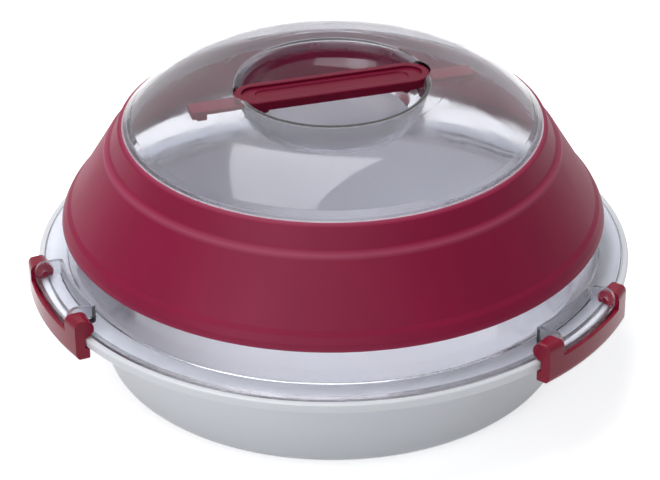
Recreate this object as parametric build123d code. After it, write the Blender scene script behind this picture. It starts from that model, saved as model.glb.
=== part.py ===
from build123d import *
from math import asin, atan2, cos, degrees, pi, radians, sin, sqrt
import os

# Pie carrier: a round deep tray, a clear ring that sits on it, a folding sleeve,
# a clear dome with a carry handle sunk into its crown, and three rim latches.
# Millimetres. +Z is up and the origin is the centre of the tray's flat underside.

# Tray
rim_radius = 165.0
tray_height = 62.0
rim_width = 23.5
rim_band_height = 5.4
rim_top_round = 1.1
bowl_draft = 13.0
bowl_floor_round = 8.0
tray_wall = 2.4
bead_width = 3.4
seat_depth = 2.0

# Clear lid ring
seat_gap = 0.6
flange_edge = 2.4
flange_rise = 1.8
flange_step = 2.5
flange_fall = 0.2
shoulder_width = 16.7
ring_foot = 4.4
ring_wall = 2.2
ring_height = 30.0
rebate_depth = 1.1
rebate_height = 6.1

# Folding sleeve between the ring and the dome
sleeve_rise = 56.0
sleeve_wall = 2.1
collar_lip = 2.5
collar_wall = 2.4
collar_waist = 3.8
collar_round = 3.0
crease_wall = 0.4
crease_sink = 0.6
fold_band = 2.1
fold_inset = 2.0
fold_round = 1.0
upper_fold_drop = 13.6
upper_fold_reach = 10.1
upper_fold_lean = 1.2
fold_shelf = 3.2
top_lip_width = 2.3
top_lip_drop = 1.2
top_collar_hold = 6.5
sleeve_gap = 0.3

# Clear dome
dome_edge_radius = 115.3
dome_rise = 23.6
dome_wall = 2.3
crown_radius = 72.0
crown_margin = 11.5
edge_drop = 5.3
skirt_length = 9.0
skirt_inset = 1.5

# Hand well sunk into the dome
well_radius = 51.0
well_depth = 26.0
well_taper = 5.5
well_floor_round = 24.0
well_lip_round = 3.2

# Carry handle
handle_angle = 22.5
grip_length = 110.0
grip_width = 24.0
grip_height = 5.0
grip_sink = 1.2
grip_wall = 2.4
grip_plate = 1.8
grip_gap = 0.6
groove_margin = 4.0
groove_depth = 1.4
arm_width = 11.5
arm_thickness = 2.0
arm_reach = 79.5
arm_gap = 0.1
arm_roof_gap = 1.2
arm_side_gap = 0.75
foot_length = 8.0
foot_drop = 3.0
toe_length = 2.6
toe_drop = 1.9
pivot_radius = 40.0
barrel_radius = 2.4
barrel_side_gap = 0.3
ear_thickness = 2.2
handle_pin_radius = 1.5
slot_above = 4.0
slot_below = 4.7
slot_reach = 11.5

# Three rim latches and the clear lugs that carry them
latch_count = 3
first_latch_angle = 90.0
latch_length = 77.2
latch_outer = 6.0
latch_wall = 2.0
latch_round = 4.4
latch_foot_round = 1.6
bar_rise = 1.6
hook_grip = 1.6
hook_height = 7.0
hook_gap = 0.4
hook_tip_round = 1.4
rim_gap = 0.7
block_rise = 10.8
block_height = 10.2
block_shoulder_round = 3.8
block_end_round = 1.2
latch_pivot_inset = 4.0
latch_pin_radius = 1.6
latch_pin_grip = 1.7
lug_length = 55.0
lug_side_gap = 0.4
lug_width = 15.8
lug_outer = 3.4
lug_rise = 13.4
lug_slope = 1.6
lug_wall = 2.1
lug_floor = 2.1
lug_lip = 0.6
lug_rim_gap = 1.8
lug_shoulder_round = 5.0
lug_corner_round = 2.5

# Shared fits: running clearance of a pin, small moulded edges, how far joined
# solids sink into each other, how far a cutter runs past what it cuts, and
# how deep a trimming cut goes into the face that it follows
pin_clearance = 0.05
edge_round = 0.8
small_round = 0.5
fine_round = 0.3
weld = 0.2
overrun = 1.0
skim = 0.02

# Heights and radii that follow from the sizes above
bowl_mouth_radius = rim_radius - rim_width
bowl_floor_radius = bowl_mouth_radius - bowl_draft
seat_z = tray_height - seat_depth
band_under_z = tray_height - rim_band_height
bead_inner_radius = rim_radius - bead_width
flange_radius = bead_inner_radius - seat_gap
flange_top_z = seat_z + flange_edge + flange_rise
ring_outer_radius = rim_radius - shoulder_width
rebate_radius = ring_outer_radius - rebate_depth
ring_top_z = seat_z + ring_height
sleeve_base_z = ring_top_z - rebate_height
sleeve_top_z = sleeve_base_z + sleeve_rise
crown_z = sleeve_top_z + dome_rise
crown_arc_radius = well_radius + crown_margin
skirt_outer_radius = dome_edge_radius - skirt_inset
skirt_under_z = sleeve_top_z - skirt_length
grip_top_z = crown_z - grip_sink
grip_under_z = grip_top_z - grip_height

# The arms lie under the grip's rim and under the roof above their tips, whichever is lower
roof_inner_radius = crown_radius - dome_wall
roof_fall = crown_radius - sqrt(roof_inner_radius ** 2 - (arm_reach - crown_arc_radius) ** 2)
arm_top_z = min(grip_under_z - arm_gap, crown_z - roof_fall - arm_roof_gap)
arm_mid_z = arm_top_z - arm_thickness / 2

latch_outer_radius = rim_radius + latch_outer
latch_top_z = tray_height + block_rise
block_under_z = latch_top_z - block_height
latch_pivot_z = latch_top_z - block_height / 2
latch_pivot_radius = rim_radius - latch_pivot_inset
hook_top_z = band_under_z - hook_gap
hook_under_z = hook_top_z - hook_height
block_from = lug_length / 2 + lug_side_gap
lug_outer_radius = rim_radius + lug_outer
lug_inner_radius = lug_outer_radius - lug_width
lug_under_z = tray_height + lug_rim_gap
lug_top_z = tray_height + lug_rise


def turned(corners, arc=360.0):
    """Solid of revolution from (radius, height, corner rounding) triples."""
    points = [(r, z) for r, z, _ in corners]
    rounds = [rounding for _, _, rounding in corners]
    outline = FilletPolyline(*points, radius=rounds, close=True)
    section = Plane.XZ * make_face(outline)
    solid = revolve(section, Axis.Z, revolution_arc=arc)
    return Rot(0, 0, -arc / 2) * solid if arc < 360.0 else solid


def inset(points, wall):
    """Inner corners of an open outline moved to its left by the wall, mitred."""
    moved = []
    for before, here, after in zip(points, points[1:], points[2:]):
        into = atan2(here[1] - before[1], here[0] - before[0])
        away = atan2(after[1] - here[1], after[0] - here[0])
        side = (into + away + pi) / 2
        reach = wall / cos((away - into) / 2)
        moved.append((here[0] + reach * cos(side), here[1] + reach * sin(side)))
    return moved


def stadium(length, width, height, base_z):
    """Upright block with half-round ends, centred on the axis, long along X."""
    plan = SlotOverall(length, width)
    return Pos(0, 0, base_z) * extrude(plan, height)


def cross_pin(x, z, radius, y_from, y_to):
    """Round bar along Y at the given place."""
    bar = Cylinder(radius, y_to - y_from)
    return Pos(x, (y_from + y_to) / 2, z) * Rot(90, 0, 0) * bar


def save(node, shape):
    """Write one sub-part under its own name."""
    shape.label = node
    export_step(shape, f"parts/{node}.step")


def base_tray():
    """Deep round tray with a seat for the lid and a turned-down rim band."""
    rim_under_z = seat_z - tray_wall
    return turned([
        (0, 0, 0),
        (bowl_floor_radius, 0, bowl_floor_round),
        (bowl_mouth_radius, rim_under_z, tray_wall),
        (rim_radius - tray_wall, rim_under_z, small_round),
        (rim_radius - tray_wall, band_under_z, small_round),
        (rim_radius, band_under_z, small_round),
        (rim_radius, tray_height, rim_top_round),
        (bead_inner_radius, tray_height, small_round),
        (bead_inner_radius, seat_z, fine_round),
        (bowl_mouth_radius - tray_wall, seat_z, tray_wall),
        (bowl_floor_radius - tray_wall, tray_wall, bowl_floor_round - tray_wall),
        (0, tray_wall, 0),
    ])


def lug():
    """Clear shelf over the rim with an inner wall and two rounded side walls."""
    arc = 2 * degrees(atan2(lug_length, lug_inner_radius))
    floor_z = lug_under_z + lug_floor
    pocket_radius = lug_inner_radius + lug_wall
    body = turned([
        (lug_inner_radius, seat_z + flange_edge, 0),
        (flange_radius, seat_z + flange_edge, 0),
        (flange_radius, lug_under_z, 0),
        (lug_outer_radius, lug_under_z, edge_round),
        (lug_outer_radius, lug_top_z, lug_shoulder_round),
        (lug_inner_radius, lug_top_z - lug_slope, edge_round),
    ], arc)
    pocket = turned([
        (pocket_radius, floor_z, edge_round),
        (lug_outer_radius - lug_wall, floor_z, 0),
        (lug_outer_radius - lug_wall + lug_lip, floor_z + lug_lip, 0),
        (lug_outer_radius + overrun, floor_z + lug_lip, 0),
        (lug_outer_radius + overrun, lug_top_z + overrun, 0),
        (pocket_radius, lug_top_z + overrun, 0),
    ], arc)
    plan_from = sqrt(lug_inner_radius ** 2 - (lug_length / 2) ** 2)
    plan_depth = lug_outer_radius + lug_corner_round + overrun - plan_from
    plan = RectangleRounded(plan_depth, lug_length, lug_corner_round)
    body &= Pos(plan_from + plan_depth / 2, 0, 0) * extrude(plan, 2 * tray_height)
    pocket_span = Box(2 * rim_radius, lug_length - 2 * lug_wall, 2 * tray_height)
    return body - (pocket & Pos(rim_radius, 0, tray_height) * pocket_span)


def lid_ring():
    """Clear ring: seat flange, upright wall with a rebate for the sleeve, latch lugs."""
    ring_inner_radius = ring_outer_radius - ring_wall
    ring = turned([
        (ring_inner_radius, seat_z, fine_round),
        (flange_radius, seat_z, fine_round),
        (flange_radius, seat_z + flange_edge, small_round),
        (flange_radius - flange_step, seat_z + flange_edge + flange_rise / 2, edge_round),
        (ring_outer_radius + ring_foot, flange_top_z - flange_fall, edge_round),
        (ring_outer_radius, flange_top_z, edge_round),
        (ring_outer_radius, sleeve_base_z, fine_round),
        (rebate_radius, sleeve_base_z, 0),
        (rebate_radius, ring_top_z, fine_round),
        (ring_inner_radius, ring_top_z, fine_round),
    ])
    hole_reach = lug_length / 2 + overrun
    holes = cross_pin(latch_pivot_radius, latch_pivot_z,
                      latch_pin_radius + pin_clearance, -hole_reach, hole_reach)
    one_lug = lug()
    for number in range(latch_count):
        turn = Rot(0, 0, first_latch_angle + number * 360 / latch_count)
        ring += turn * one_lug
        ring -= turn * holes
    return ring


def sleeve():
    """Soft folding band: bottom collar, lower fold, cone, upper fold, top collar."""
    crease_z = ring_top_z + sleeve_wall - crease_sink
    upper_fold_radius = dome_edge_radius + upper_fold_reach
    upper_fold_z = sleeve_top_z - upper_fold_drop
    outer = [
        (ring_outer_radius + collar_lip, sleeve_base_z),
        (rebate_radius + collar_wall, sleeve_base_z + collar_waist),
        (rebate_radius + crease_wall, crease_z),
        (rebate_radius - fold_inset, crease_z + fold_band),
        (upper_fold_radius + upper_fold_lean, upper_fold_z - fold_band),
        (upper_fold_radius, upper_fold_z),
        (upper_fold_radius - fold_shelf, upper_fold_z + fold_band),
        (dome_edge_radius + top_lip_width, sleeve_top_z - top_lip_drop),
        (dome_edge_radius, sleeve_top_z),
    ]
    outer_rounds = [edge_round, collar_round, fold_round, fold_round, fold_round,
                    fold_round, fold_round, edge_round, fine_round]
    inner = inset(outer[1:8], sleeve_wall)
    skirt_radius = skirt_outer_radius + sleeve_gap
    corners = [(rebate_radius, sleeve_base_z, 0)]
    corners += [(r, z, rounding) for (r, z), rounding in zip(outer, outer_rounds)]
    corners += [(skirt_radius, sleeve_top_z, 0), (skirt_radius, sleeve_top_z - top_collar_hold, fold_round)]
    corners += [(r, z, small_round) for r, z in reversed(inner)]
    corners += [(rebate_radius, inner[0][1], 0)]
    return turned(corners)


def dome_shell():
    """Thin clear dome with the hand well, before the handle slots are cut."""
    roof_centre_z = crown_z - crown_radius
    shoulder_z = sleeve_top_z + edge_drop
    edge_z = sleeve_top_z + sleeve_gap
    lean = asin((shoulder_z - roof_centre_z) / crown_radius)
    middle = (lean + radians(90)) / 2

    def roof_point(arc_radius, angle):
        return (crown_arc_radius + arc_radius * cos(angle), roof_centre_z + arc_radius * sin(angle))

    well_floor_z = crown_z - well_depth
    well_foot_radius = well_radius - well_taper
    wall_shift = dome_wall / cos(atan2(well_taper, well_depth))
    skirt_inner_radius = skirt_outer_radius - dome_wall
    upper = FilletPolyline(
        (0, well_floor_z),
        (well_foot_radius, well_floor_z),
        (well_radius, crown_z),
        (crown_arc_radius, crown_z),
        radius=[well_floor_round, well_lip_round])
    outer_roof = ThreePointArc(
        (crown_arc_radius, crown_z),
        roof_point(crown_radius, middle),
        roof_point(crown_radius, lean))
    edge = Polyline(
        roof_point(crown_radius, lean),
        (dome_edge_radius, edge_z),
        (skirt_outer_radius, edge_z),
        (skirt_outer_radius, skirt_under_z),
        (skirt_inner_radius, skirt_under_z),
        (skirt_inner_radius, sleeve_top_z),
        roof_point(roof_inner_radius, lean))
    inner_roof = ThreePointArc(
        roof_point(roof_inner_radius, lean),
        roof_point(roof_inner_radius, middle),
        (crown_arc_radius, crown_z - dome_wall))
    lower = FilletPolyline(
        (crown_arc_radius, crown_z - dome_wall),
        (well_radius + wall_shift, crown_z - dome_wall),
        (well_foot_radius + wall_shift, well_floor_z - dome_wall),
        (0, well_floor_z - dome_wall),
        radius=[well_lip_round - dome_wall, well_floor_round + dome_wall])
    axis_edge = Line((0, well_floor_z - dome_wall), (0, well_floor_z))
    outline = Wire([*upper.edges(), *outer_roof.edges(), *edge.edges(),
                    *inner_roof.edges(), *lower.edges(), *axis_edge.edges()])
    return revolve(Plane.XZ * make_face(outline), Axis.Z)


def lid_dome():
    """Clear dome with a notch for each end of the grip and a slot for each arm."""
    notch_z = grip_under_z - grip_gap
    notch = stadium(grip_length + 2 * grip_gap, grip_width + 2 * grip_gap,
                    crown_z + overrun - notch_z, notch_z)
    slots = Part() + [
        Pos(side * (well_radius + overrun), 0, arm_mid_z + (slot_above - slot_below) / 2)
        * Box(slot_reach, arm_width + 2 * arm_side_gap, slot_above + slot_below)
        for side in (-1, 1)]
    return dome_shell() - Rot(0, 0, handle_angle) * (notch + slots)


def handle_grip():
    """Hollow grip with a shallow finger groove on top and pivot ears beneath."""
    body = stadium(grip_length, grip_width, grip_height, grip_under_z)
    body = fillet(body.faces().sort_by(Axis.Z)[-1].edges(), edge_round)
    groove = stadium(grip_length - 2 * groove_margin, grip_width - 2 * groove_margin,
                     groove_depth + overrun, grip_top_z - groove_depth)
    ceiling_z = grip_top_z - groove_depth - grip_plate
    hollow = stadium(grip_length - 2 * grip_wall, grip_width - 2 * grip_wall,
                     ceiling_z - grip_under_z + overrun, grip_under_z - overrun)
    grip = body - groove - hollow
    web_height = ceiling_z + weld - arm_mid_z
    web = Box(2 * barrel_radius, ear_thickness, web_height)
    ear_y = arm_width / 2 + barrel_side_gap + ear_thickness / 2
    for side in (-1, 1):
        x = side * pivot_radius
        for y in (-ear_y, ear_y):
            grip += Pos(x, y, arm_mid_z + web_height / 2) * web
            grip += cross_pin(x, arm_mid_z, barrel_radius, y - ear_thickness / 2, y + ear_thickness / 2)
        grip -= cross_pin(x, arm_mid_z, handle_pin_radius + pin_clearance, -grip_width / 2, grip_width / 2)
    return Rot(0, 0, handle_angle) * grip


def handle_arm(turn):
    """Flat arm: pivot barrel with its two pins, strap through the slot, stepped end foot."""
    strap = Box(arm_reach - pivot_radius, arm_width, arm_thickness)
    arm = Pos((pivot_radius + arm_reach) / 2, 0, arm_mid_z) * strap
    for far_x, length, drop in (
            (arm_reach, foot_length, toe_drop),
            (arm_reach - toe_length, foot_length - toe_length, foot_drop)):
        foot_z = arm_mid_z - arm_thickness / 2 + weld - (drop + weld) / 2
        arm += Pos(far_x - length / 2, 0, foot_z) * Box(length, arm_width, drop + weld)
    arm += cross_pin(pivot_radius, arm_mid_z, barrel_radius, -arm_width / 2, arm_width / 2)
    pin_reach = arm_width / 2 + barrel_side_gap + ear_thickness
    arm += cross_pin(pivot_radius, arm_mid_z, handle_pin_radius, -pin_reach, pin_reach)
    return Rot(0, 0, handle_angle + turn) * arm


def latch_block(low, high):
    """End block of a latch between two places along it, with a round nose about its pin."""
    width = high - low
    depth = latch_outer + latch_pivot_inset + overrun
    post_under_z = hook_top_z - weld
    height = latch_top_z - post_under_z
    column = Box(depth, width, height)
    block = Pos(latch_pivot_radius + depth / 2, (low + high) / 2, latch_top_z - height / 2) * column
    block += cross_pin(latch_pivot_radius, latch_pivot_z, block_height / 2, low, high)
    block &= Cylinder(latch_outer_radius, 3 * latch_top_z)
    rim_space = Cylinder(rim_radius + rim_gap, 2 * tray_height)
    block -= Pos(0, 0, block_under_z - tray_height) * rim_space
    shoulder = block.faces().sort_by(Axis.Z)[-1].edges().filter_by(GeomType.CIRCLE)
    return fillet(shoulder, block_shoulder_round)


def latch():
    """Rim latch: low outer bar with a hook, and a block with a pin at each end."""
    half = latch_length / 2
    arc = 2 * degrees(atan2(latch_length, rim_radius))
    bar_inner = latch_outer_radius - latch_wall
    bar_top_z = tray_height + bar_rise
    hook_radius = rim_radius - hook_grip
    bar = turned([
        (hook_radius, hook_top_z, small_round),
        (hook_radius, hook_under_z, hook_tip_round),
        (latch_outer_radius, hook_under_z, latch_round),
        (latch_outer_radius, bar_top_z, small_round),
        (bar_inner, bar_top_z, small_round),
        (bar_inner, hook_top_z, small_round),
    ], arc)
    foot_z = hook_under_z + skim
    roof_z = latch_top_z - skim
    front = FilletPolyline(
        (-half, foot_z), (half, foot_z), (half, roof_z), (-half, roof_z),
        radius=[latch_foot_round, latch_foot_round, block_end_round, block_end_round], close=True)
    window = extrude(Plane.YZ * make_face(front), 2 * rim_radius, dir=(1, 0, 0))
    body = bar & window
    pin_from = lug_length / 2 - latch_pin_grip
    pin_to = block_from + latch_pin_grip
    for side in (-1, 1):
        low, high = sorted((side * block_from, side * (half + overrun)))
        body += latch_block(low, high) & window
        low, high = sorted((side * pin_from, side * pin_to))
        body += cross_pin(latch_pivot_radius, latch_pivot_z, latch_pin_radius, low, high)
    return body


os.makedirs("parts", exist_ok=True)

save("base_tray", base_tray())
save("lid_ring", lid_ring())
save("folding_sleeve", sleeve())
save("lid_dome", lid_dome())
save("handle_grip", handle_grip())
save("handle_arm_right", handle_arm(0))
save("handle_arm_left", handle_arm(180))

latch_names = ["latch_back", "latch_left", "latch_right"]
latch_shape = latch()
for number, node in enumerate(latch_names):
    save(node, Rot(0, 0, first_latch_angle + number * 360 / latch_count) * latch_shape)
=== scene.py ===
import bmesh
import bpy
from math import degrees, hypot, pi, radians, tan
from mathutils import Matrix, Vector


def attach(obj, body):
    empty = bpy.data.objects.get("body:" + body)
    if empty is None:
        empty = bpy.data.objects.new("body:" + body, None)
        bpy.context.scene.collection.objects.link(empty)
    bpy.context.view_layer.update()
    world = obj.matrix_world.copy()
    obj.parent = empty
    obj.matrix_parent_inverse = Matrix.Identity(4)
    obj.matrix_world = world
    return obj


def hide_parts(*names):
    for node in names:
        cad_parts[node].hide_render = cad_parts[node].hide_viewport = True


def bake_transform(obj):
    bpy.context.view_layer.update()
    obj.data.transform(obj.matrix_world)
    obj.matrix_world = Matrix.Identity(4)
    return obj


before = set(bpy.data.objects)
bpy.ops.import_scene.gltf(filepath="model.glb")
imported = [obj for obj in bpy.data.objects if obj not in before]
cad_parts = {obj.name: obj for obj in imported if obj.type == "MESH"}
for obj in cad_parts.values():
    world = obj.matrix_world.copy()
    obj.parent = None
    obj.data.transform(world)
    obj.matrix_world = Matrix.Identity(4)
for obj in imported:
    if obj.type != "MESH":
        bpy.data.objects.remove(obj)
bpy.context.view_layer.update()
bpy.ops.object.select_all(action="DESELECT")

# Tray. The real one is injection moulded polypropylene in a cool off-white: a deep bowl
# with a broad flat rim, a raised bead round the rim and a turned-down band below it. It is
# one piece, and everything else stands on its rim.

# Its section, as corners of radius, height and rounding: out along the underside, round the
# rim's band and bead, and back down the inside. All lengths in this file are in metres.
tray_outline = [
    (0.0000, 0.0000, 0.0000),
    (0.1285, 0.0000, 0.0080),
    (0.1415, 0.0576, 0.0024),
    (0.1626, 0.0576, 0.0004),
    (0.1626, 0.0566, 0.0004),
    (0.1646, 0.0566, 0.0005),
    (0.1646, 0.0592, 0.0002),
    (0.1650, 0.0595, 0.0002),
    (0.1650, 0.0620, 0.0011),
    (0.1616, 0.0620, 0.0006),
    (0.1616, 0.0598, 0.0003),
    (0.1391, 0.0598, 0.0024),
    (0.1261, 0.0024, 0.0056),
    (0.0000, 0.0024, 0.0000),
]

# How finely a piece is turned and its corners rounded, how near two points or two circles are
# when they count as one, and the angle from which an edge is shown sharp.
turn_steps = 192
degrees_per_facet = 12
same_point = 0.00001
same_circle = 0.00003
sharp_angle = radians(34)


def select_only(mesh, wanted):
    """Leaves only the edges selected that the test wants, in a mesh being edited."""
    bpy.ops.mesh.select_all(action="DESELECT")
    for edge in mesh.edges:
        if wanted(edge):
            edge.select_set(True)


def turned_piece(name, outline, closed=False):
    """A piece spun about the axis from its section's corners, each one rounded."""
    bpy.ops.object.select_all(action="DESELECT")
    bpy.ops.mesh.primitive_plane_add(size=0.001, location=(outline[0][0], 0, outline[0][1]))
    piece = bpy.context.object
    piece.name = name
    bpy.ops.object.transform_apply(location=True, rotation=True, scale=True)

    # The plane becomes one point, which is drawn out along the section and spun round.
    bpy.ops.object.mode_set(mode="EDIT")
    bpy.ops.mesh.select_mode(type="VERT")
    bpy.ops.mesh.select_all(action="SELECT")
    bpy.ops.mesh.merge(type="CENTER")
    run = outline[1:] + outline[:1] if closed else outline[1:]
    for before, here in zip(outline, run):
        step = (here[0] - before[0], 0, here[1] - before[1])
        bpy.ops.mesh.extrude_region_move(TRANSFORM_OT_translate={"value": step})
    bpy.ops.mesh.select_all(action="SELECT")
    bpy.ops.mesh.remove_doubles(threshold=same_point)
    bpy.ops.mesh.spin(steps=turn_steps, angle=2 * pi, center=(0, 0, 0), axis=(0, 0, 1))
    bpy.ops.mesh.select_all(action="SELECT")
    bpy.ops.mesh.remove_doubles(threshold=same_point)
    bpy.ops.mesh.normals_make_consistent(inside=False)

    # Each corner is now a ring of edges, bevelled so that its arc has the rounding's radius.
    bpy.ops.mesh.select_mode(type="EDGE")
    for number, (radius, height, rounding) in enumerate(outline):
        if not rounding:
            continue
        before = outline[number - 1]
        after = outline[(number + 1) % len(outline)]
        into = Vector((radius - before[0], height - before[1]))
        away = Vector((after[0] - radius, after[1] - height))
        bend = into.angle(away)
        facets = max(2, round(degrees(bend) / degrees_per_facet))
        mesh = bmesh.from_edit_mesh(piece.data)
        select_only(mesh, lambda edge: all(
            abs(hypot(v.co.x, v.co.y) - radius) < same_circle and abs(v.co.z - height) < same_point
            for v in edge.verts))
        bpy.ops.mesh.bevel(offset=rounding * tan(bend / 2), segments=facets, profile=0.5,
                           affect="EDGES")
    bpy.ops.object.mode_set(mode="OBJECT")
    return piece


def smooth(piece):
    """Smooth shading, with flat faces kept flat by their area and real edges kept sharp."""
    bpy.ops.object.select_all(action="DESELECT")
    piece.select_set(True)
    bpy.context.view_layer.objects.active = piece
    bpy.ops.object.shade_smooth_by_angle(angle=sharp_angle)
    weighting = piece.modifiers.new("weighting", "WEIGHTED_NORMAL")
    weighting.keep_sharp = True
    bpy.ops.object.modifier_apply(modifier=weighting.name)


def linear(hex_colour):
    """A colour written as sRGB hex, as the four linear numbers that a shader takes."""
    parts = [int(hex_colour[i:i + 2], 16) / 255 for i in (1, 3, 5)]
    return (*[c / 12.92 if c <= 0.04045 else ((c + 0.055) / 1.055) ** 2.4 for c in parts], 1.0)


def new_material(name):
    """An empty node material."""
    material = bpy.data.materials.new(name)
    material.use_nodes = True
    material.node_tree.nodes.clear()
    return material


def add_node(owner, kind, settings=None, inputs=None):
    """One shader node with its settings. An input is a value, or the output that feeds it.

    Inputs go by name, or by number where several inputs of a node share a name.
    """
    node = owner.node_tree.nodes.new(kind)
    for name, value in (settings or {}).items():
        setattr(node, name, value)
    for name, value in (inputs or {}).items():
        if isinstance(value, bpy.types.NodeSocket):
            owner.node_tree.links.new(value, node.inputs[name])
        else:
            node.inputs[name].default_value = value
    return node


def finish_on(obj, material):
    """Gives the piece this one material."""
    obj.data.materials.clear()
    obj.data.materials.append(material)


# Polypropylene from a satin-polished mould. It looks faintly milky, a little cloudy where it
# cooled at different rates, and its skin has a fine grain that softens reflections. The real
# grain is about 0.1 mm wide, and it is drawn at 1.2 mm so that it shows.
tray_pale = "#DFE2E6"
tray_deep = "#D5D8DE"
tray_roughness = (0.30, 0.40)
cloud_size = 0.090
tray_grain = 0.0012
grain_depth = 0.0001

polypropylene = new_material("polypropylene_moulded_satin")
place = add_node(polypropylene, "ShaderNodeTexCoord").outputs["Object"]
clouds = add_node(polypropylene, "ShaderNodeTexNoise", {},
                  {"Vector": place, "Scale": 1 / cloud_size, "Detail": 3.0})
milk = add_node(polypropylene, "ShaderNodeMix", {"data_type": "RGBA"},
                {"Factor": clouds.outputs["Fac"], "A": linear(tray_pale), "B": linear(tray_deep)})
gloss = add_node(polypropylene, "ShaderNodeMapRange", {}, {
    "Value": clouds.outputs["Fac"], "To Min": tray_roughness[0], "To Max": tray_roughness[1]})
grain = add_node(polypropylene, "ShaderNodeTexNoise", {},
                 {"Vector": place, "Scale": 1 / tray_grain, "Detail": 2.0})
skin = add_node(polypropylene, "ShaderNodeBump", {},
                {"Height": grain.outputs["Fac"], "Strength": 0.10, "Distance": grain_depth})
shader = add_node(polypropylene, "ShaderNodeBsdfPrincipled", {}, {
    "Base Color": milk.outputs["Result"], "Roughness": gloss.outputs["Result"], "IOR": 1.49,
    "Subsurface Weight": 0.10, "Subsurface Radius": (0.003, 0.003, 0.003),
    "Subsurface Scale": 1.0, "Normal": skin.outputs["Normal"]})
add_node(polypropylene, "ShaderNodeOutputMaterial", {}, {"Surface": shader.outputs["BSDF"]})

tray = turned_piece("tray_bowl_and_rim", tray_outline)
smooth(tray)
finish_on(tray, polypropylene)
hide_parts("base_tray")
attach(tray, "tray")

# Lid ring. The real one is injection moulded in clear copolyester: a stepped flange that
# lies on the tray's rim, an upright wall that carries the sleeve, and three lugs that hold
# the latches. Its shape is the frame's own.

# Copolyester from a polished mould. It is clear, with slow waves where it flowed. It is a
# little grey in its depth, so edges shine and faces seen at a slant turn grey. The flange,
# which rubs on the tray, and the lugs, which rub on the latches, are frosted.
clear_tint = "#F3F4F7"
clear_shine = "#C4C4C8"
clear_shadow = "#F6F6F8"
clear_depth = "#AFACB6"
clear_roughness = (0.03, 0.08)
flow_width = 0.020
flow_depth = 0.0006
ring_haze = 55.0
flange_from = 0.1500
flange_frost = 0.12
lug_base = 0.0668
lug_frost = 0.24
frost_edge = 0.0015

clear = new_material("copolyester_clear_polished")
place = add_node(clear, "ShaderNodeTexCoord").outputs["Object"]
flow = add_node(clear, "ShaderNodeTexNoise", {},
                {"Vector": place, "Scale": 1 / flow_width, "Detail": 1.0})
skin = add_node(clear, "ShaderNodeBump", {},
                {"Height": flow.outputs["Fac"], "Strength": 0.10, "Distance": flow_depth})
scuffs = add_node(clear, "ShaderNodeMapRange", {}, {
    "Value": flow.outputs["Fac"], "From Min": 0.35, "From Max": 0.65,
    "To Min": clear_roughness[0], "To Max": clear_roughness[1]})

# The frost begins at a distance from the axis, and a height tells the lugs from the flange.
# The dome's material is a copy that changes the nodes which have a name here.
outwards = add_node(clear, "ShaderNodeVectorMath", {"operation": "MULTIPLY"},
                    {0: place, 1: (1.0, 1.0, 0.0)})
reach = add_node(clear, "ShaderNodeVectorMath", {"name": "reach", "operation": "LENGTH"},
                 {"Vector": outwards.outputs["Vector"]})
flange = add_node(clear, "ShaderNodeMapRange", {"name": "frosted from here"}, {
    "Value": reach.outputs["Value"],
    "From Min": flange_from, "From Max": flange_from + frost_edge})
height = add_node(clear, "ShaderNodeSeparateXYZ", {"name": "height"}, {"Vector": place})
frost = add_node(clear, "ShaderNodeMapRange", {"name": "frost by height"}, {
    "Value": height.outputs["Z"], "From Min": lug_base, "From Max": lug_base + frost_edge,
    "To Min": flange_frost, "To Max": lug_frost})
rough = add_node(clear, "ShaderNodeMath", {"name": "rough", "operation": "MULTIPLY_ADD"}, {
    0: flange.outputs["Result"], 1: frost.outputs["Result"], 2: scuffs.outputs["Result"]})
shader = add_node(clear, "ShaderNodeBsdfPrincipled", {"name": "clear plastic"}, {
    "Base Color": linear(clear_tint), "Roughness": rough.outputs["Value"], "IOR": 1.50,
    "Specular Tint": linear(clear_shine), "Transmission Weight": 1.0,
    "Normal": skin.outputs["Normal"]})

# Lamp light passes straight through, because a clear wall throws hardly any shadow.
through = add_node(clear, "ShaderNodeBsdfTransparent", {}, {"Color": linear(clear_shadow)})
path = add_node(clear, "ShaderNodeLightPath")
either = add_node(clear, "ShaderNodeMixShader", {}, {
    "Fac": path.outputs["Is Shadow Ray"], 1: shader.outputs["BSDF"], 2: through.outputs["BSDF"]})
haze = add_node(clear, "ShaderNodeVolumeAbsorption", {"name": "haze"},
                {"Color": linear(clear_depth), "Density": ring_haze})
add_node(clear, "ShaderNodeOutputMaterial", {},
         {"Surface": either.outputs["Shader"], "Volume": haze.outputs["Volume"]})
finish_on(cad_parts["lid_ring"], clear)

# Folding sleeve. The real one is a moulded silicone band in burgundy, snapped over the clear
# ring below and round the dome's skirt above. Its two folds let the dome sink into the ring.

# Its section: up the outside from the lower lip to the upper one, and back down the inside.
sleeve_outline = [
    (0.14735, 0.0840, 0.0000),
    (0.15080, 0.0840, 0.0008),
    (0.15035, 0.0854, 0.0000),
    (0.14960, 0.0877, 0.0030),
    (0.14760, 0.0915, 0.0030),
    (0.14520, 0.0936, 0.0010),
    (0.14210, 0.0987, 0.0000),
    (0.13590, 0.1089, 0.0000),
    (0.12970, 0.1191, 0.0000),
    (0.12660, 0.1242, 0.0010),
    (0.12540, 0.1263, 0.0010),
    (0.12220, 0.1284, 0.0014),
    (0.11760, 0.1387, 0.0008),
    (0.11530, 0.1399, 0.0003),
    (0.11420, 0.1399, 0.0000),
    (0.11420, 0.1334, 0.0010),
    (0.12053, 0.12698, 0.0005),
    (0.12383, 0.12482, 0.0005),
    (0.12479, 0.12313, 0.0005),
    (0.12700, 0.11950, 0.0000),
    (0.13418, 0.10770, 0.0000),
    (0.14140, 0.09580, 0.0000),
    (0.14357, 0.09223, 0.0005),
    (0.14592, 0.09018, 0.0005),
    (0.14735, 0.09010, 0.0000),
]

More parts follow.
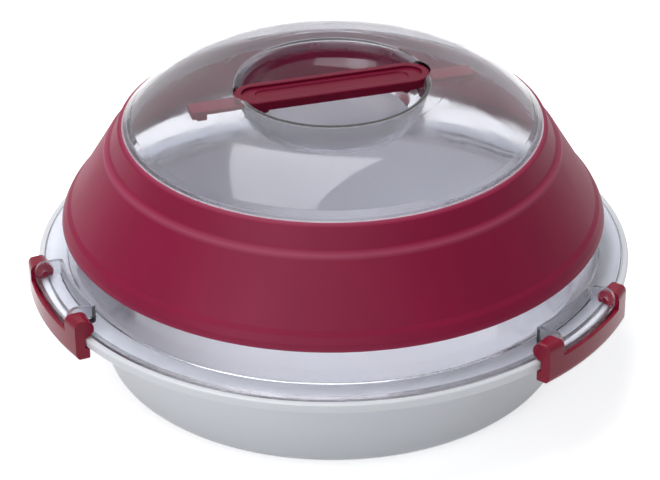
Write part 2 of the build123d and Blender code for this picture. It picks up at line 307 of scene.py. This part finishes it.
# Silicone rubber from a satin mould. Its red goes deep into the wall, it has almost no gloss,
# and a fine bloom lies on it in soft upright clouds where the rubber flowed. The real grain
# is about 0.1 mm wide, and it is drawn at 1 mm so that it shows.
silicone_red = "#8A153D"
silicone_deep = "#791235"
# The lighter pink below is a painted highlight, laid on the fold and lip ridges.
silicone_painted_highlight = "#B4607C"
silicone_roughness = (0.40, 0.54)
bloom_size = 0.040
bloom_upright = (1.0, 1.0, 0.35)
silicone_grain = 0.0010

silicone = new_material("silicone_moulded_satin")
place = add_node(silicone, "ShaderNodeTexCoord").outputs["Object"]
upright = add_node(silicone, "ShaderNodeMapping", {}, {"Vector": place, "Scale": bloom_upright})
bloom = add_node(silicone, "ShaderNodeTexNoise", {},
                 {"Vector": upright.outputs["Vector"], "Scale": 1 / bloom_size, "Detail": 3.0})
rubber = add_node(silicone, "ShaderNodeMix", {"data_type": "RGBA"}, {
    "Factor": bloom.outputs["Fac"], "A": linear(silicone_red), "B": linear(silicone_deep)})
# A per-point share mixes the painted highlight's lighter pink into the rubber on the ridges.
edges = add_node(silicone, "ShaderNodeAttribute", {"attribute_name": "fold_painted_highlight"})
rubber_and_painted_highlight = add_node(silicone, "ShaderNodeMix", {"data_type": "RGBA"}, {
    "Factor": edges.outputs["Fac"], "A": rubber.outputs["Result"], "B": linear(silicone_painted_highlight)})
gloss = add_node(silicone, "ShaderNodeMapRange", {}, {
    "Value": bloom.outputs["Fac"],
    "To Min": silicone_roughness[0], "To Max": silicone_roughness[1]})
grain = add_node(silicone, "ShaderNodeTexNoise", {},
                 {"Vector": place, "Scale": 1 / silicone_grain, "Detail": 2.0})
skin = add_node(silicone, "ShaderNodeBump", {},
                {"Height": grain.outputs["Fac"], "Strength": 0.12, "Distance": grain_depth})
shader = add_node(silicone, "ShaderNodeBsdfPrincipled", {}, {
    "Base Color": rubber_and_painted_highlight.outputs["Result"], "Roughness": gloss.outputs["Result"], "IOR": 1.41,
    "Specular IOR Level": 0.16, "Normal": skin.outputs["Normal"]})
add_node(silicone, "ShaderNodeOutputMaterial", {}, {"Surface": shader.outputs["BSDF"]})

sleeve = turned_piece("folding_band", sleeve_outline, closed=True)
smooth(sleeve)

# A painted highlight lies on the rounded ridges, where the overhead light catches them: on
# the upper fold, the lower lip and the upper lip. Each has a radius, a height and the share of
# painted highlight at its edge.
painted_highlight_ridges = [
    (0.1254, 0.1263, 0.40),
    (0.1508, 0.0840, 0.35),
    (0.1153, 0.1399, 0.30),
]
painted_highlight_reach = 0.0018

fold_painted_highlight = sleeve.data.attributes.new("fold_painted_highlight", "FLOAT", "POINT")
for number, vert in enumerate(sleeve.data.vertices):
    radius = hypot(vert.co.x, vert.co.y)
    for edge_radius, edge_height, amount in painted_highlight_ridges:
        away = hypot(radius - edge_radius, vert.co.z - edge_height)
        fold_painted_highlight.data[number].value += amount * max(0, 1 - away / painted_highlight_reach)
finish_on(sleeve, silicone)
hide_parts("folding_sleeve")
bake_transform(sleeve)

# Dome. The real one is the same clear copolyester as the ring, in one shell with the hand
# well. Slots in the well's wall let the handle's arms through, and the grip has two notches.

# The plastic is the ring's, a little greyer to look through. The skirt, which the sleeve
# holds, is left matt by the mould, at any distance from the axis.
dome_haze = 120.0
any_distance = (-1.0, 0.0)
skirt_top = 0.1402
skirt_frost = 0.55
dome_edge = 0.0010

dome_clear = clear.copy()
dome_clear.name = "copolyester_clear_thick"
dome_nodes = dome_clear.node_tree.nodes
dome_values = {
    "haze": {"Density": dome_haze},
    "frosted from here": {"From Min": any_distance[0], "From Max": any_distance[1]},
    "frost by height": {"From Min": skirt_top, "From Max": skirt_top + dome_edge,
                        "To Min": skirt_frost, "To Max": 0.0},
}
for node_name, values in dome_values.items():
    for input_name, value in values.items():
        dome_nodes[node_name].inputs[input_name].default_value = value

# The well's rim and the notches are where hands rub, so they are a little frosted too.
rim_reach = 0.0536
rim_base = 0.1572
rim_frost = 0.24

near = add_node(dome_clear, "ShaderNodeMapRange", {}, {
    "Value": dome_nodes["reach"].outputs["Value"],
    "From Min": rim_reach, "From Max": rim_reach - dome_edge})
upper = add_node(dome_clear, "ShaderNodeMapRange", {}, {
    "Value": dome_nodes["height"].outputs["Z"],
    "From Min": rim_base, "From Max": rim_base + dome_edge, "To Max": rim_frost})
rubbed = add_node(dome_clear, "ShaderNodeMath", {"operation": "MULTIPLY_ADD"}, {
    0: near.outputs["Result"], 1: upper.outputs["Result"],
    2: dome_nodes["rough"].outputs["Value"]})
dome_clear.node_tree.links.new(rubbed.outputs["Value"],
                               dome_nodes["clear plastic"].inputs["Roughness"])
finish_on(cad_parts["lid_dome"], dome_clear)

# Handle. The real one is moulded ABS in dark burgundy: a hollow grip with a shallow two-step
# groove on top, and a flat arm at each end that passes through the well's wall.

# ABS takes the finish of its mould. Its pigment lies in faint swirls, and its skin has a fine
# grain, about 0.1 mm wide on the real one and drawn at 0.9 mm so that it shows.
swirl_size = 0.030
abs_grain = 0.0009


def moulded_abs(name, red, deep, roughness, grain_strength, shine):
    """Moulded ABS between two reds, and between two roughnesses."""
    plastic = new_material(name)
    place = add_node(plastic, "ShaderNodeTexCoord").outputs["Object"]
    swirl = add_node(plastic, "ShaderNodeTexNoise", {},
                     {"Vector": place, "Scale": 1 / swirl_size, "Detail": 3.0})
    pigment = add_node(plastic, "ShaderNodeMix", {"data_type": "RGBA"},
                       {"Factor": swirl.outputs["Fac"], "A": linear(red), "B": linear(deep)})
    gloss = add_node(plastic, "ShaderNodeMapRange", {}, {
        "Value": swirl.outputs["Fac"], "To Min": roughness[0], "To Max": roughness[1]})
    grain = add_node(plastic, "ShaderNodeTexNoise", {},
                     {"Vector": place, "Scale": 1 / abs_grain, "Detail": 2.0})
    skin = add_node(plastic, "ShaderNodeBump", {}, {
        "Height": grain.outputs["Fac"], "Strength": grain_strength, "Distance": grain_depth})
    shader = add_node(plastic, "ShaderNodeBsdfPrincipled", {}, {
        "Base Color": pigment.outputs["Result"], "Roughness": gloss.outputs["Result"],
        "IOR": 1.52, "Specular IOR Level": shine, "Normal": skin.outputs["Normal"]})
    add_node(plastic, "ShaderNodeOutputMaterial", {}, {"Surface": shader.outputs["BSDF"]})
    return plastic


# The handle's mould is semi-gloss, so its faces stay dark and only their edges catch light.
handle_plastic = moulded_abs(
    "abs_moulded_semi_gloss", red="#74122F", deep="#650F28", roughness=(0.24, 0.36),
    grain_strength=0.10, shine=0.08)
for name in ("handle_arm_right", "handle_arm_left"):
    finish_on(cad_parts[name], handle_plastic)

# The grip's groove has a second, narrower step, with sloping sides and soft edges. Its outer
# step is in the frame's shape already. The grip lies at an angle to the front.
grip_turn = radians(22.5)
grip_top = 0.1623
groove_half_width = 0.0080
groove_half_straight = 0.0430
ledge_depth = 0.0014
inner_half_width = 0.0050
inner_half_length = 0.0430
inner_depth = 0.0008
inner_slope = 0.0007
groove_floor = grip_top - ledge_depth - inner_depth
flat_within = radians(0.5)

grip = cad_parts["handle_grip"].copy()
grip.data = grip.data.copy()
grip.name = "grip_with_stepped_groove"
bpy.context.scene.collection.objects.link(grip)
bpy.ops.object.select_all(action="DESELECT")
grip.select_set(True)
bpy.context.view_layer.objects.active = grip
bpy.ops.object.mode_set(mode="EDIT")
bpy.ops.mesh.select_all(action="SELECT")
bpy.ops.mesh.remove_doubles(threshold=same_point)
bpy.ops.mesh.dissolve_limited(angle_limit=flat_within)
bpy.ops.object.mode_set(mode="OBJECT")

# The cutter starts as a short round bar. Its two halves are moved apart, which makes it a slot
# with round ends, and its top is widened, which slopes its sides.
cutter_sides = 64

bpy.ops.object.select_all(action="DESELECT")
bpy.ops.mesh.primitive_cylinder_add(
    vertices=cutter_sides, radius=inner_half_width, depth=2 * inner_depth,
    location=(0, 0, groove_floor + inner_depth), rotation=(0, 0, pi / cutter_sides))
cutter = bpy.context.object
bpy.ops.object.transform_apply(location=True, rotation=True, scale=True)
bpy.ops.object.mode_set(mode="EDIT")
bpy.ops.mesh.select_mode(type="VERT")
for side in (-1, 1):
    mesh = bmesh.from_edit_mesh(cutter.data)
    bpy.ops.mesh.select_all(action="DESELECT")
    for vert in mesh.verts:
        vert.select_set(vert.co.x * side > 0)
    mesh.select_flush_mode()
    bpy.ops.transform.translate(value=(side * (inner_half_length - inner_half_width), 0, 0))
mesh = bmesh.from_edit_mesh(cutter.data)
bpy.ops.mesh.select_all(action="DESELECT")
for vert in mesh.verts:
    vert.select_set(vert.co.z > groove_floor + inner_depth)
mesh.select_flush_mode()
bpy.ops.transform.resize(
    value=(1 + inner_slope / inner_half_length, 1 + inner_slope / inner_half_width, 1),
    center_override=(0, 0, groove_floor + 2 * inner_depth))
bpy.ops.object.mode_set(mode="OBJECT")
cutter.rotation_euler = (0, 0, grip_turn)
bpy.ops.object.transform_apply(location=True, rotation=True, scale=True)

bpy.ops.object.select_all(action="DESELECT")
grip.select_set(True)
bpy.context.view_layer.objects.active = grip
cut = grip.modifiers.new("cut", "BOOLEAN")
cut.operation = "DIFFERENCE"
cut.solver = "EXACT"
cut.object = cutter
bpy.ops.object.modifier_apply(modifier=cut.name)
bpy.data.objects.remove(cutter)

# The upper edges of both steps are softened. Each has the half-width and half of the straight
# at its edge, its height, and how soft it is.
groove_lips = [
    (groove_half_width, groove_half_straight, grip_top, 0.00035),
    (inner_half_width + inner_slope / 2, inner_half_length - inner_half_width,
     grip_top - ledge_depth, 0.00030),
]
lip_facets = 3
near_lip = 0.0003
unturn = Matrix.Rotation(-grip_turn, 4, "Z")


def on_lip(vert, half_width, half_straight, height):
    """True for a vertex on the upper edge of a step of the groove."""
    spot = unturn @ vert.co
    along = max(abs(spot.x) - half_straight, 0)
    off = abs(hypot(along, spot.y) - half_width)
    return abs(spot.z - height) < same_circle and off < near_lip


bpy.ops.object.mode_set(mode="EDIT")
bpy.ops.mesh.select_mode(type="EDGE")
for half_width, half_straight, height, softness in groove_lips:
    mesh = bmesh.from_edit_mesh(grip.data)
    select_only(mesh, lambda edge: all(
        on_lip(vert, half_width, half_straight, height) for vert in edge.verts))
    bpy.ops.mesh.bevel(offset=softness, segments=lip_facets, profile=0.5, affect="EDGES")
bpy.ops.object.mode_set(mode="OBJECT")
smooth(grip)
finish_on(grip, handle_plastic)
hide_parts("handle_grip")
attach(grip, "handle")

# Latches. The real ones are moulded ABS in a brighter red: a curved bar with a block at each
# end that turns on a pin in the lug, and a hooked edge under the tray's rim.

# The latches' mould is polished, so their tops mirror the room in soft streaks.
latch_plastic = moulded_abs(
    "abs_moulded_gloss", red="#8C1230", deep="#780F2A", roughness=(0.14, 0.24),
    grain_strength=0.08, shine=0.18)
for name in ("latch_back", "latch_left", "latch_right"):
    finish_on(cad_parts[name], latch_plastic)

# Floor and room. A sheet of matt pale paper, which keeps the object's soft shadow, in a
# studio that is white all round. Both look white, but throw less light than white would.

floor_width = 6.0
floor_gap = 0.0002

bpy.ops.object.select_all(action="DESELECT")
bpy.ops.mesh.primitive_plane_add(size=floor_width, location=(0, 0, -floor_gap))
floor = bpy.context.object
floor.name = "floor"


def seen_directly(owner):
    """1 for rays that carry the picture, straight, mirrored or through plastic, else 0."""
    path = add_node(owner, "ShaderNodeLightPath")
    seen = path.outputs["Is Camera Ray"]
    for kind in ("Is Glossy Ray", "Is Transmission Ray"):
        largest = add_node(owner, "ShaderNodeMath", {"operation": "MAXIMUM"},
                           {0: seen, 1: path.outputs[kind]})
        seen = largest.outputs["Value"]
    return seen


# The paper glows less near the object, where its shadow lies, and is full white further off.
white = linear("#FFFFFF")
paper_pale = "#ECECEE"
shadow_glow = 0.62
shadow_from = 0.30
shadow_to = 0.75

paper = new_material("paper_matt_pale")
place = add_node(paper, "ShaderNodeTexCoord").outputs["Object"]
distance = add_node(paper, "ShaderNodeVectorMath", {"operation": "LENGTH"}, {"Vector": place})
lit = add_node(paper, "ShaderNodeMapRange", {}, {
    "Value": distance.outputs["Value"], "From Min": shadow_from, "From Max": shadow_to,
    "To Min": shadow_glow, "To Max": 1.0})
glow = add_node(paper, "ShaderNodeMapRange", {},
                {"Value": seen_directly(paper), "To Max": lit.outputs["Result"]})
shader = add_node(paper, "ShaderNodeBsdfPrincipled", {}, {
    "Base Color": linear(paper_pale), "Roughness": 0.9, "Emission Color": white,
    "Emission Strength": glow.outputs["Result"]})
add_node(paper, "ShaderNodeOutputMaterial", {}, {"Surface": shader.outputs["BSDF"]})
finish_on(floor, paper)

room_light = 0.30

studio = bpy.data.worlds.new("studio")
bpy.context.scene.world = studio
studio.use_nodes = True
studio.node_tree.nodes.clear()
strength = add_node(studio, "ShaderNodeMapRange", {},
                    {"Value": seen_directly(studio), "To Min": room_light, "To Max": 1.0})
sky = add_node(studio, "ShaderNodeBackground", {},
               {"Color": white, "Strength": strength.outputs["Result"]})
add_node(studio, "ShaderNodeOutputWorld", {}, {"Surface": sky.outputs["Background"]})

# Lamps. A large soft box overhead, a little to the left, gives most of the light and the
# patch on the dome. A weaker one fills from the left in front. A white card in front is seen
# only in reflections, in the well's wall and along the latches.


def softbox(name, place, aim, width, height, watts, lights=True):
    """A rectangular lamp, aimed at a point. One that doesn't light is only mirrored."""
    data = bpy.data.lights.new(name, "AREA")
    data.shape = "RECTANGLE"
    data.size = width
    data.size_y = height
    data.energy = watts
    lamp = bpy.data.objects.new(name, data)
    bpy.context.scene.collection.objects.link(lamp)
    lamp.location = place
    lamp.rotation_euler = (Vector(aim) - Vector(place)).to_track_quat("-Z", "Y").to_euler()
    lamp.visible_diffuse = lights


softbox("overhead", place=(-0.40, 0.10, 1.75), aim=(0, 0, 0.10),
        width=1.65, height=1.0, watts=25)
softbox("fill", place=(-0.8, -1.6, 0.9), aim=(0, 0, 0.08), width=0.9, height=0.9, watts=6)
softbox("front_card", place=(-0.35, -1.5, 0.75), aim=(0, 0, 0.12),
        width=2.6, height=1.1, watts=26, lights=False)

# Camera, about 30 degrees above the floor, where the photograph's stood. The picture's width
# and the focal length are in pixels. The place is given straight in front, and photo_turn
# swings it round the object's axis.

photo_width = 660
photo_focal = 2610.6
photo_turn = radians(6.1)
photo_pitch = 0.5243
photo_roll = -0.0073
camera_place = Vector((-0.00186, -1.2695, 0.7976))
sensor_width = 36.0

camera_data = bpy.data.cameras.new("camera")
camera_data.sensor_width = sensor_width
camera_data.lens = photo_focal / photo_width * sensor_width
camera = bpy.data.objects.new("camera", camera_data)
bpy.context.scene.collection.objects.link(camera)
turn = Matrix.Rotation(photo_turn, 4, "Z")
tilt = Matrix.Rotation(pi / 2 - photo_pitch, 4, "X") @ Matrix.Rotation(photo_roll, 4, "Z")
camera.matrix_world = Matrix.Translation(turn @ camera_place) @ turn @ tilt
bpy.context.scene.camera = camera
bpy.context.scene.view_settings.view_transform = "Standard"
